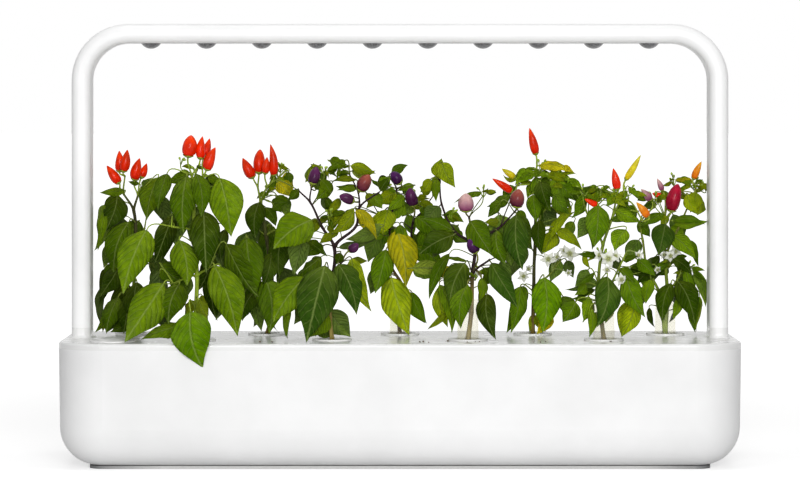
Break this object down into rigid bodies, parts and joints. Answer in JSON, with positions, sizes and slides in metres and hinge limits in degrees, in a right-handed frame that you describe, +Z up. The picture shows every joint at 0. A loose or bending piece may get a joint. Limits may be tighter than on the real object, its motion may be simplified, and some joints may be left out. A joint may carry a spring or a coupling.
{
  "type": "countertop hydroponic garden",
  "caption": "Long low water tank with a lid of plant pods in two staggered rows, pepper plants with fruit, and an arched grow lamp on two arms.",
  "frame": {"origin": "middle of the foot plate, on the surface the garden stands on", "axes": "+X along the tank to the right seen from the front, +Y to the back, +Z up"},
  "size_m": [0.62, 0.1951, 0.404],
  "materials": {
    "tank_white": "satin",
    "foot_grey": "matte",
    "lid_white": "gloss",
    "float_grey": "matte",
    "lamp_white": "satin",
    "cover_grey": "satin",
    "lens_dark": "satin",
    "board_white": "satin",
    "led_yellow": "satin",
    "aluminium": "satin",
    "screw_steel": "satin",
    "cable_black": "matte",
    "board_green": "satin",
    "inlet_black": "satin",
    "plug_grey": "matte",
    "cup_white": "satin",
    "soil": "matte",
    "sleeve_clear": "satin",
    "foliage": "satin",
    "pepper_red": "gloss",
    "pepper_purple": "gloss",
    "pepper_plum": "gloss"
  },
  "bodies": {
    "tank": {"water_tank": "tank_white", "foot_plate": "foot_grey"},
    "lid": {"tank_lid": "lid_white", "collar_left": "lid_white", "collar_right": "lid_white", "float_guide": "lid_white"},
    "float": {"float_cap": "lid_white", "float_body": "float_grey"},
    "lamp": {"lamp_shell": "lamp_white", "lamp_cover": "cover_grey", "lens_domes": "lens_dark", "led_board": "board_white", "led_chips": "led_yellow", "heat_sink": "aluminium", "board_screws": "screw_steel", "lamp_cable": "cable_black", "timer_board": "board_green", "power_inlet": "inlet_black", "arm_plug_left": "plug_grey", "arm_plug_right": "plug_grey"},
    "pod_1": {"pod_cup_1": "cup_white", "soil_plug_1": "soil", "plant_1": "foliage", "peppers_1": "pepper_red"},
    "pod_2": {"pod_cup_2": "cup_white", "soil_plug_2": "soil", "plant_2": "foliage", "peppers_2": "pepper_red"},
    "pod_3": {"pod_cup_3": "cup_white", "soil_plug_3": "soil", "plant_3": "foliage", "peppers_3": "pepper_red"},
    "pod_4": {"pod_cup_4": "cup_white", "soil_plug_4": "soil", "plant_4": "foliage", "peppers_4": "pepper_purple"},
    "pod_5": {"pod_cup_5": "cup_white", "soil_plug_5": "soil", "plant_5": "foliage", "peppers_5": "pepper_purple", "stem_sleeve_5": "sleeve_clear"},
    "pod_6": {"pod_cup_6": "cup_white", "soil_plug_6": "soil", "plant_6": "foliage", "peppers_6": "pepper_plum", "stem_sleeve_6": "sleeve_clear"},
    "pod_7": {"pod_cup_7": "cup_white", "soil_plug_7": "soil", "plant_7": "foliage", "peppers_7": "pepper_red"},
    "pod_8": {"pod_cup_8": "cup_white", "soil_plug_8": "soil", "plant_8": "foliage", "peppers_8": "pepper_red", "stem_sleeve_8": "sleeve_clear"},
    "pod_9": {"pod_cup_9": "cup_white", "soil_plug_9": "soil", "plant_9": "foliage", "peppers_9": "pepper_plum", "stem_sleeve_9": "sleeve_clear"}
  },
  "joints": [
    {"name": "lid_lift", "type": "slide", "parent": "tank", "child": "lid", "axis": [0, 0, 1], "range_m": [0, 0.06]},
    {"name": "float_rise", "type": "slide", "parent": "lid", "child": "float", "axis": [0, 0, 1], "range_m": [0, 0.012]},
    {"name": "lamp_lift", "type": "slide", "parent": "lid", "child": "lamp", "axis": [0, 0, 1], "range_m": [0, 0.03]},
    {"name": "pod_1_lift", "type": "slide", "parent": "lid", "child": "pod_1", "axis": [0, 0, 1], "range_m": [0, 0.06]},
    {"name": "pod_2_lift", "type": "slide", "parent": "lid", "child": "pod_2", "axis": [0, 0, 1], "range_m": [0, 0.06]},
    {"name": "pod_3_lift", "type": "slide", "parent": "lid", "child": "pod_3", "axis": [0, 0, 1], "range_m": [0, 0.06]},
    {"name": "pod_4_lift", "type": "slide", "parent": "lid", "child": "pod_4", "axis": [0, 0, 1], "range_m": [0, 0.06]},
    {"name": "pod_5_lift", "type": "slide", "parent": "lid", "child": "pod_5", "axis": [0, 0, 1], "range_m": [0, 0.06]},
    {"name": "pod_6_lift", "type": "slide", "parent": "lid", "child": "pod_6", "axis": [0, 0, 1], "range_m": [0, 0.06]},
    {"name": "pod_7_lift", "type": "slide", "parent": "lid", "child": "pod_7", "axis": [0, 0, 1], "range_m": [0, 0.06]},
    {"name": "pod_8_lift", "type": "slide", "parent": "lid", "child": "pod_8", "axis": [0, 0, 1], "range_m": [0, 0.06]},
    {"name": "pod_9_lift", "type": "slide", "parent": "lid", "child": "pod_9", "axis": [0, 0, 1], "range_m": [0, 0.06]}
  ]
}
